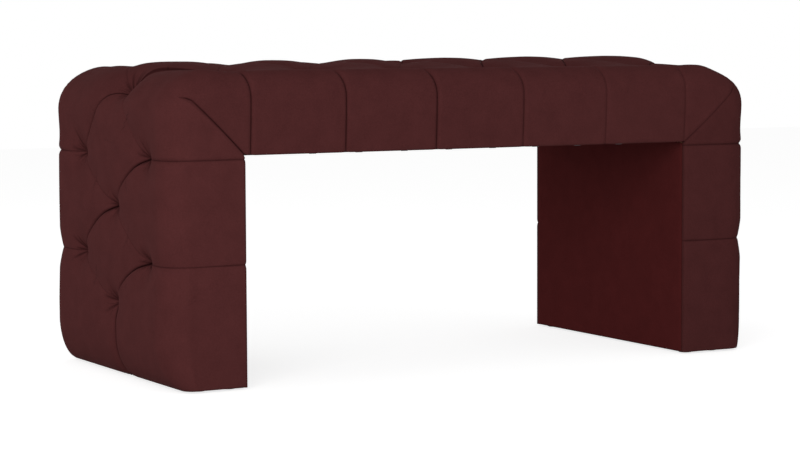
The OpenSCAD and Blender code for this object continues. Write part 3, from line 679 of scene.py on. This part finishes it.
def wrinkles(rng):
    # Creases that run out from each tuft, mostly into the lumps that the folds lap over
    found = []
    for m, q, corner in tuftPlaces():
        for turn in (12, 38, -28) + ((78, 95, 112) if corner else (62,)):
            angle = math.radians(turn + rng.uniform(-9, 9))
            towardStart = -1.0 if m >= 0 else 1.0
            found.append((m, q, (math.sin(angle) * towardStart, math.cos(angle)), rng.uniform(20, 38),
                          coverLook["wrinkleDepth"] * rng.uniform(0.55, 1.1)))
    return found


def nearestOn(points, line, shares):
    # Distance from points to a line, and the share of the line at the nearest place
    best, where = np.full(len(points), 1e9), np.zeros(len(points))
    for a in range(len(line) - 1):
        edge = line[a + 1] - line[a]
        t = np.clip(((points - line[a]) @ edge) / max(edge @ edge, 1e-9), 0, 1)
        d = np.linalg.norm(points - line[a] - t[:, None] * edge, axis=1)
        closer = d < best
        best = np.where(closer, d, best)
        where = np.where(closer, shares[a] + t * (shares[a + 1] - shares[a]), where)
    return best, where


def lumpBorder(lump, corner):
    # The places round a lump, from side to side
    border = []
    for side in lump["sides"]:
        span = (np.array(side["end"]) - np.array(side["start"])) * np.array([halfBay, 1.0])
        if side["kind"] == "seam" and corner:
            span = span * coverMesh["cornerSeamShare"]
        path = sidePath(side, steps(np.linalg.norm(span), *side["tufts"]))
        border += list((path[::-1] if side["flip"] else path)[:-1])
    return np.array(border)


def sideGroove(side, middle, corner, point):
    # What a side does to the points of its lump: hollows, a shift under the lap, and painted shade
    look = coverLook
    shares = np.linspace(0, 1, coverMesh["sideSamples"])
    path = sidePath(side, shares)
    line = smoothSurface(path[:, 0], path[:, 1])[0]
    best, where = nearestOn(point, line, shares)
    crossing = np.interp(where, shares, np.abs(path[:, 1]))
    depth = grooveDepth(side, where, crossing)
    strength, startAt = foldStrength(side), abs(side["start"][0])
    if side["shelf"]:
        # at the corner the lump of the seat stands up behind the lower one in front
        lip = look["shelfLip"] * depth * falloff(best, *slopes["lip"])
        if corner:
            share = 1.0 if middle[0] < 0 else look["rightShelfShare"]
            shelf = share * look["shelfDepth"] * falloff(best, *slopes["shelf"])
        else:
            shelf = look["shelfBack"] * falloff(best, *slopes["shelfBack"])
        return [lip, shelf], 0.0, grooveShadeLine("shelf", best)
    if side["kind"] == "crisp":
        onLip = abs(middle[0]) > (startAt + abs(side["end"][0])) / 2
        near, wide = ("lip", "lipBroad") if onLip else ("under", "underBroad")
        broad = look[wide] * strength
        hollow = (depth - broad) * falloff(best, *slopes[near]) + broad * falloff(best, *slopes[wide])
        if not onLip:
            return [hollow], 0.0, strength * grooveShadeLine("under", np.maximum(0, best - 0.8))
        over = best / look["lapAt"]
        lean = look["lap"] * np.sin(math.pi * where) ** 0.7 * over * np.exp(1 - over)
        nearest = np.stack([np.interp(where, shares, line[:, c]) for c in range(3)], -1)
        outOf = point - nearest
        shift = -lean[:, None] * outOf / np.maximum(np.linalg.norm(outOf, axis=1, keepdims=True), 1e-6)
        return [hollow], shift, strength * grooveShadeLine("mitreLip" if round(startAt) == mitre else "lip", best)
    if side["kind"] == "soft":
        rounded = np.sqrt(best ** 2 + look["softRound"] ** 2) - look["softRound"]
        hollow = depth * falloff(rounded, look["softReach"] - look["softRound"], look["softPower"])
        # it draws into a fine line towards its tufts
        drawn = 0.15 + 0.85 * (2 * where - 1) ** 2
        fine = (look["softLineShare"] * depth + look["softLine"] * drawn) * falloff(best, *slopes["softLine"])
        return [hollow, fine], 0.0, drawn * grooveShadeLine("soft", best)
    if side["kind"] == "pleat":
        down = np.clip((crossing - edgeTop) / edgeLength, 0, 1)
        reach = look["pleatReach"] + (look["facePleatReach"] - look["pleatReach"]) * down
        hollows = [depth * falloff(best, reach, look["pleatPower"])]
        strength = pleatStrength(side["start"][0])
        seen = 1 if strength == 1 or startAt > mitre else smooth(1.6 * down)
        if startAt > lastTuft - 1:
            ending = np.clip((faceEnd - crossing) / look["endDipFade"], 0, 1)
            hollows.append(look["endDip"] * falloff(best, *slopes["endDip"]) * ending)
        return hollows, 0.0, (1.2 * strength - 0.5) * seen * grooveShadeLine("pleat", best)
    if middle[1] > 0:
        dark = grooveShadeLine("hemFoldBack", np.maximum(0, best - 1.0))
    else:
        dark = grooveShadeLine("hemFoldFront", best)
    return [depth * falloff(best, *slopes["hemFold"])], 0.0, dark * (1 - 0.3 * where)


def dartGroove(dart, middle, point):
    # The mitre dart runs up from the inner corner and ends in a small hook; it gives a hollow and the painted
    # shade along it
    shares = np.linspace(0, 1, coverMesh["dartSamples"])
    top, foot, hook = dart["top"], dart["foot"], dart["hook"]
    stations = foot + (top - hook - foot) * shares + hook * smooth(shares * 6 - 5)
    heights = coverEnd + (abs(middle[1]) - coverEnd) * shares
    line = smoothSurface(math.copysign(1.0, middle[0]) * stations, math.copysign(1.0, middle[1]) * heights)[0]
    best, where = nearestOn(point, line, shares)
    fade = smooth((1 - where) / coverLook["dartFade"]) * dart["strength"]
    return coverLook["dartDepth"] * fade * falloff(best, *slopes["dart"]), fade * grooveShadeLine("dart", best)


def creaseProfile(crease, m, q):
    # How much a crease shows at each place, from 0 to 1
    place, crossing, way, length = crease[:4]
    offset = np.stack([(m - place) * halfBay, q - crossing], -1)
    along = offset @ np.array(way)
    aside = offset @ np.array([-way[1], way[0]])
    share = np.clip(along / length, 0, 1)
    width = np.maximum(coverLook["wrinkleWidth"] + coverLook["wrinkleSpread"] * along, 0.5)
    # 2.6 brings the highest place of the curve to 1
    return np.where(along > 0, np.sqrt(share) * (1 - share) * 2.6, 0) * bell(aside, width)


def buildCover():
    look = coverLook
    rings = coverMesh["rings"]
    inward = (np.arange(rings + 1) / rings) ** coverMesh["ringPower"]
    tufts = tuftPlaces()
    tuftAt = np.array([(m, q) for m, q, corner in tufts])
    tuftPoints = smoothSurface(tuftAt[:, 0], tuftAt[:, 1])[0]
    tuftDepths = np.array([
        look["cornerTuftDepth"] if corner
        else look["tuftDepth"] * (look["backRightShare"] if q > 0 and 0 < m < mitre else 1)
        for m, q, corner in tufts])
    tuftReach = np.array([look["cornerTuftReach" if corner else "tuftReach"] for m, q, corner in tufts])
    creases = wrinkles(np.random.default_rng(look["seed"]))
    shared, sums, counts, faces, faceNapAndShade = {}, [], [], [], []

    def vertexAt(values, key=None):
        # Points with the same key become one vertex at their mean
        at = shared.get(key)
        if at is None:
            at = len(sums)
            sums.append(values)
            counts.append(1)
            if key is not None:
                shared[key] = at
        else:
            sums[at] = sums[at] + values
            counts[at] += 1
        return at

    for number, lump in enumerate(lumps()):
        middle = np.array(lump["middle"])
        far, sign = abs(middle[0]), (-1 if middle[0] < 0 else 1)
        corner = abs(far - mitre) < 0.5
        border = lumpBorder(lump, corner)
        n = len(border)
        grid = (border[None] + inward[:, None, None] * (middle - border)[None]).reshape(-1, 2)
        m, q = grid[:, 0], grid[:, 1]
        across = np.abs(q)
        point, normal = smoothSurface(m, q)
        hollows, shift, dark = [], np.zeros_like(point), np.zeros(len(point))
        for side in lump["sides"]:
            if side["kind"] not in ("seam", "hem"):
                sideHollows, sideShift, sideShade = sideGroove(side, middle, corner, point)
                hollows += sideHollows
                shift += sideShift
                dark = np.maximum(dark, sideShade)
        if corner:
            dart = darts[sign]
            hollow, dartShade = dartGroove(dart, middle, point)
            hollows.append(hollow)
            dark = np.maximum(dark, dartShade)
        gap = np.linalg.norm(point[:, None] - tuftPoints[None], axis=2)
        hollows.append((tuftDepths * np.exp(-(gap / tuftReach) ** look["tuftPower"])).max(1))
        # painted shade in the hollow round each tuft
        dark = np.maximum(dark, grooveShadeLine("tuft", gap.min(1)))
        for crease in creases:
            profile = creaseProfile(crease, m, q)
            if profile.max() > 0.01:
                hollows.append(crease[-1] * profile)
                # painted shade along the wrinkle
                dark = np.maximum(dark, look["wrinkleDark"] * profile)
        depth = (np.array(hollows) ** look["groovePower"]).sum(0) ** (1 / look["groovePower"])
        # almost nothing sinks where the cover is sewn or stapled down
        past = np.clip((np.abs(m) - hemLow) * halfBay / 2, 0, 1)
        sewn, least = np.clip((coverEnd - across) / (coverEnd - faceEnd), 0, 1), look["sewnShare"]
        depth *= (sewn * (1 - least) + least) * (1 - past)
        shift *= (1 - past)[:, None]
        uneven = look["unevenness"] * math.sin(12.9 * middle[0] + 0.7 * middle[1])
        if far < mitre - 0.5:
            uneven -= look["endDrop" if far > bench["bays"] - 0.5 else "seatDrop"]
        if far > lastTuft:
            uneven += look["lowFullness" if sign < 0 else "rightLowFullness"]
        level = np.repeat(inward, n) ** look["fullnessPower"] * (across < edgeEnd)
        final = point + (uneven * level - depth)[:, None] * normal + shift
        nearest = gap.argmin(1)
        way = np.stack([(m - tuftAt[nearest, 0]) * halfBay / 1000, (q - tuftAt[nearest, 1]) / 1000,
                        nearest.astype(float)], -1)
        packed = np.concatenate([final, dark[:, None], way], 1).reshape(rings + 1, n, 7)
        ids = [[vertexAt(packed[0, j], (round(border[j][0] * halfBay, 3), round(border[j][1], 3)))
                for j in range(n)]]
        ids += [[vertexAt(packed[i, j]) for j in range(n)] for i in range(1, rings)]
        ids.append([vertexAt(packed[rings, j], ("middle", number)) for j in range(n)])
        # outward side: compare one of the faces with the smooth form's direction
        a, b, c = final[6 * n + n // 3], final[6 * n + n // 3 + 1], final[8 * n + n // 3]
        ahead = np.dot(np.cross(b - a, c - a), normal[7 * n + n // 3]) > 0
        for i in range(rings):
            for j in range(n):
                k = (j + 1) % n
                quad = [ids[i][j], ids[i][k], ids[i + 1][k], ids[i + 1][j]]
                if i == rings - 1:
                    quad = quad[:3]
                faces.append(quad if ahead else quad[::-1])
                # the pile tone of each face, which also paints the left leg lighter and the right leg darker
                lean = smooth(abs(m[i * n + j]) - 5.5)
                if corner:
                    # the dart parts two ways of the pile, and of the painted light and shade with it
                    cell, crossing = np.abs(border[j] + border[k]) / 2
                    cut = far if crossing < coverEnd - 1 else dart["foot"]
                    share = smooth((crossing - edgeTop) / (faceEnd - edgeTop))
                    lean += share * ((0.0 if cell < cut else 1.0) - lean)
                faceNapAndShade.append(-sign * lean)
    data = np.array(sums) / np.array(counts)[:, None]
    return data[:, :3], faces, data[:, 3], data[:, 4:7], faceNapAndShade


def newObject(name, data):
    made = bpy.data.objects.new(name, data)
    bpy.context.scene.collection.objects.link(made)
    return made


coverPoints, coverFaces, coverFoldShade, coverWay, coverNapAndShade = buildCover()
coverData = bpy.data.meshes.new("tuftedCover")
coverData.from_pydata([tuple(point) for point in coverPoints / 1000], [], coverFaces)
cover = newObject("tuftedCover", coverData)
# The cover's points carry the painted shade of its grooves, and its faces carry the pile tone with its
# painted light and shade
for name, kind, place, field, values in (
        ("fold", "FLOAT", "POINT", "value", coverFoldShade),
        ("tuftWay", "FLOAT_VECTOR", "POINT", "vector", coverWay),
        ("nap", "FLOAT", "FACE", "value", coverNapAndShade)):
    coverData.attributes.new(name, kind, place).data.foreach_set(field, np.array(values, np.float32).ravel())
shaped = bmesh.new()
shaped.from_mesh(coverData)
bmesh.ops.remove_doubles(shaped, verts=shaped.verts, dist=0.00002)
bmesh.ops.dissolve_degenerate(shaped, edges=shaped.edges, dist=0.00001)
shaped.to_mesh(coverData)
shaped.free()
coverData.materials.append(velvet)
for polygon in coverData.polygons:
    polygon.use_smooth = True
print("bench: cover has", len(coverData.polygons), "faces")
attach(cover, "root")
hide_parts("tufted_cover_seat", "tufted_cover_left", "tufted_cover_right")

print("bench: linings and cloths")

# Lengths in metres from here on
sheetLook = {
    "liningThick": 0.0016, "liningProud": 0.0006, "liningSide": 0.0005, "liningLow": 0.001,
    "liningHigh": 0.0012, "liningEdge": 0.0015, "clothThick": 0.0006, "clothLift": 0.0001,
    "baseOver": 0.004, "dustInset": 0.0008, "wave": 0.0003, "baseWave": 0.0001, "cells": 46, "softEdge": 0.4,
}


def cleanFaces(mergeWithin=None):
    # Close points of the active piece become one if asked, and its faces turn outward
    bpy.ops.object.mode_set(mode="EDIT")
    bpy.ops.mesh.select_all(action="SELECT")
    if mergeWithin:
        bpy.ops.mesh.remove_doubles(threshold=mergeWithin)
    bpy.ops.mesh.normals_make_consistent(inside=False)
    bpy.ops.object.mode_set(mode="OBJECT")


def easeEdges(piece, width, degrees):
    ease = piece.modifiers.new("easedEdge", "BEVEL")
    ease.width = width
    ease.segments = 2
    ease.limit_method = "ANGLE"
    ease.angle_limit = math.radians(degrees)
    bpy.ops.object.modifier_apply(modifier="easedEdge")


def flatCloth(name, low, high, material, wave):
    # A cloth in the plane of its two long sides, a little uneven, with a thickness and soft edges
    bpy.ops.object.select_all(action="DESELECT")
    size = Vector(high) - Vector(low)
    thin = min(range(3), key=lambda axis: size[axis])
    first, second = [axis for axis in range(3) if axis != thin]
    cells = sheetLook["cells"]
    bpy.ops.mesh.primitive_grid_add(x_subdivisions=cells, y_subdivisions=cells, size=1)
    cloth = bpy.context.object
    cloth.name = name
    cloth.data.name = name
    for vertex in cloth.data.vertices:
        x, y = vertex.co.x + 0.5, vertex.co.y + 0.5
        inner = min(1.0, 8 * min(x, 1 - x)) * min(1.0, 8 * min(y, 1 - y))
        ripple = math.sin(19 * x + 5 * y) + math.sin(11 * y - 7 * x + 1.3)
        vertex.co[first] = low[first] + x * size[first]
        vertex.co[second] = low[second] + y * size[second]
        vertex.co[thin] = (low[thin] + high[thin]) / 2 + wave * inner * ripple
    thicken = cloth.modifiers.new("thickness", "SOLIDIFY")
    thicken.thickness = size[thin]
    thicken.offset = 0.0
    bpy.ops.object.modifier_apply(modifier="thickness")
    easeEdges(cloth, size[thin] * sheetLook["softEdge"], 30)
    cleanFaces()
    bpy.ops.object.shade_smooth_by_angle(angle=math.radians(40))
    cloth.data.materials.clear()
    cloth.data.materials.append(material)
    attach(cloth, "root")
    return cloth


look = sheetLook
for sideName, sign in (("left", -1), ("right", 1)):
    low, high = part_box(f"leg_{sideName}_lining")
    face = (low.x if sign > 0 else high.x) - sign * look["liningProud"]
    xs = sorted((face, face + sign * look["liningThick"]))
    # the panels get the deeper, redder lining velvet: painted shade for their place under the seat
    lining = flatCloth(f"{sideName}Lining", (xs[0], low.y + look["liningSide"], low.z + look["liningLow"]),
                       (xs[1], high.y - look["liningSide"], high.z - look["liningHigh"]), shadedLiningVelvet,
                       look["wave"])
    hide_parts(f"leg_{sideName}_lining")
    low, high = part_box(f"leg_{sideName}_base_cloth")
    # it is stapled over the turned hem, and reaches the lining's face on its other side
    hemTuck = bench["hemTuck"] if sign < 0 else coverLook["rightHemTuck"]
    hemAt = (bench["gap"] / 2 + bench["legThick"] - hemTuck) / 1000
    liningAt = (low.x if sign > 0 else high.x) - sign * look["liningEdge"]
    xs = sorted((sign * (hemAt - look["baseOver"]), liningAt))
    bottom = low.z + look["clothLift"]
    under = flatCloth(f"{sideName}BaseCloth", (xs[0], low.y - look["baseOver"], bottom),
                      (xs[1], high.y + look["baseOver"], bottom + look["clothThick"]), blackCloth,
                      look["baseWave"])
    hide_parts(f"leg_{sideName}_base_cloth")
low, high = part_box("seat_dust_cover")
edge, bottom = look["dustInset"], low.z + look["clothLift"]
dust = flatCloth("seatDustCover", (low.x + edge, low.y, bottom),
                 (high.x - edge, high.y, bottom + look["clothThick"]), blackCloth, look["wave"])
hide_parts("seat_dust_cover")

print("bench: foam")

foamLook = {"edgeWidth": 0.0012, "edgeDegrees": 50}


def foamSlab(name, node):
    # The drilled slab with its cut edges eased, as foam's edges are
    slab = frame["nodes"][node].copy()
    slab.data = frame["nodes"][node].data.copy()
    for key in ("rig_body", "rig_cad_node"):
        if key in slab:
            del slab[key]
    slab.parent = None
    slab.name = name
    bpy.context.scene.collection.objects.link(slab)
    bpy.ops.object.select_all(action="DESELECT")
    slab.select_set(True)
    bpy.context.view_layer.objects.active = slab
    cleanFaces(0.00001)
    easeEdges(slab, foamLook["edgeWidth"], foamLook["edgeDegrees"])
    slab.data.materials.clear()
    slab.data.materials.append(foam)
    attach(slab, "root")
    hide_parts(node)


foamSlab("seatFoamSlab", "seat_foam")
foamSlab("leftLegFoamSlab", "leg_left_foam")
foamSlab("rightLegFoamSlab", "leg_right_foam")

print("bench: floor, light and camera")

studio = {
    "floorSize": 14.0, "floorColor": (0.9, 0.9, 0.9), "floorGlow": 0.76, "floorSeen": (0.55, 0.55, 0.55),
    "worldStrength": 0.38, "lampTarget": (0.0, 0.0, 0.25),
}
# Place, size and power of each lamp
lamps = {
    "keyLamp": ((-2.6, -3.2, 1.5), 2.6, 88.0), "fillLamp": ((1.8, -3.6, 1.2), 3.0, 20.0),
    "topLamp": ((0.0, 0.4, 3.0), 3.0, 4.0), "lowLamp": ((-2.2, 2.4, 0.7), 1.6, 16.0),
}
photoCamera = {
    "focalPixels": 2478.0, "widthPixels": 800.0, "yaw": 28.53, "pitch": 4.5676, "roll": -0.25,
    "place": (-1.9389, -3.5476, 0.5363),
}


def lookMix(tree, plain, seen, target):
    # The camera, mirrors and glass see one thing, and everything else gets the plain one
    rays = tree.nodes.new("ShaderNodeLightPath").outputs
    mask = mathNode(tree, "MAXIMUM", rays["Is Camera Ray"], rays["Is Glossy Ray"])
    mask = mathNode(tree, "MAXIMUM", mask, rays["Is Transmission Ray"])
    mix = addNode(tree, "ShaderNodeMixShader")
    for slot, value in enumerate((mask, plain, seen)):
        setSocket(tree, mix.inputs[slot], value)
    setSocket(tree, target, mix.outputs[0])


world = bpy.data.worlds.new("studioWorld")
bpy.context.scene.world = world
world.use_nodes = True
tree = world.node_tree
tree.nodes.clear()
plain, white = (addNode(tree, "ShaderNodeBackground", in_Color=(1, 1, 1), in_Strength=strength).outputs[0]
                for strength in (studio["worldStrength"], 1.0))
lookMix(tree, plain, white, tree.nodes.new("ShaderNodeOutputWorld").inputs[0])

bpy.ops.object.select_all(action="DESELECT")
bpy.ops.mesh.primitive_plane_add(size=studio["floorSize"], location=(0, 0, 0))
floor = bpy.context.object
floor.name = "studioFloor"
material, tree, shader, place = startMaterial(
    "studioFloorWhite", studio["floorColor"], 0.9, Specular_IOR_Level=0.0)
# The camera sees the floor as white as the background, but for the bench's own shadow
glow = addNode(tree, "ShaderNodeEmission", in_Strength=studio["floorGlow"])
shaded = addNode(tree, "ShaderNodeBsdfDiffuse", in_Color=studio["floorSeen"])
bright = addNode(tree, "ShaderNodeAddShader")
for slot, node in enumerate((glow, shaded)):
    setSocket(tree, bright.inputs[slot], node.outputs[0])
lookMix(tree, shader.outputs[0], bright.outputs[0], tree.nodes["Material Output"].inputs[0])
floor.data.materials.append(material)

for name, (place, size, power) in lamps.items():
    lamp = bpy.data.lights.new(name, "AREA")
    lamp.shape = "SQUARE"
    lamp.size = size
    lamp.energy = power
    holder = newObject(name, lamp)
    holder.location = place
    holder.rotation_euler = (Vector(studio["lampTarget"]) - Vector(place)).to_track_quat("-Z", "Y").to_euler()

cameraData = bpy.data.cameras.new("photoCamera")
camera = newObject("photoCamera", cameraData)
cameraData.sensor_width = 36.0
cameraData.lens = photoCamera["focalPixels"] * cameraData.sensor_width / photoCamera["widthPixels"]
cameraData.clip_end = 50.0
yaw, pitch, roll = (math.radians(photoCamera[name]) for name in ("yaw", "pitch", "roll"))
ahead = Vector((math.sin(yaw) * math.cos(pitch), math.cos(yaw) * math.cos(pitch), -math.sin(pitch)))
right = Vector((math.cos(yaw), -math.sin(yaw), 0.0))
upward = right.cross(ahead)
rolledRight = math.cos(roll) * right + math.sin(roll) * upward
rolledUp = math.cos(roll) * upward - math.sin(roll) * right
turned = Matrix((rolledRight, rolledUp, -ahead)).transposed()
camera.matrix_world = Matrix.Translation(photoCamera["place"]) @ turned.to_4x4()
bpy.context.scene.camera = camera

bpy.context.scene.view_settings.view_transform = "Standard"

print("bench: done")
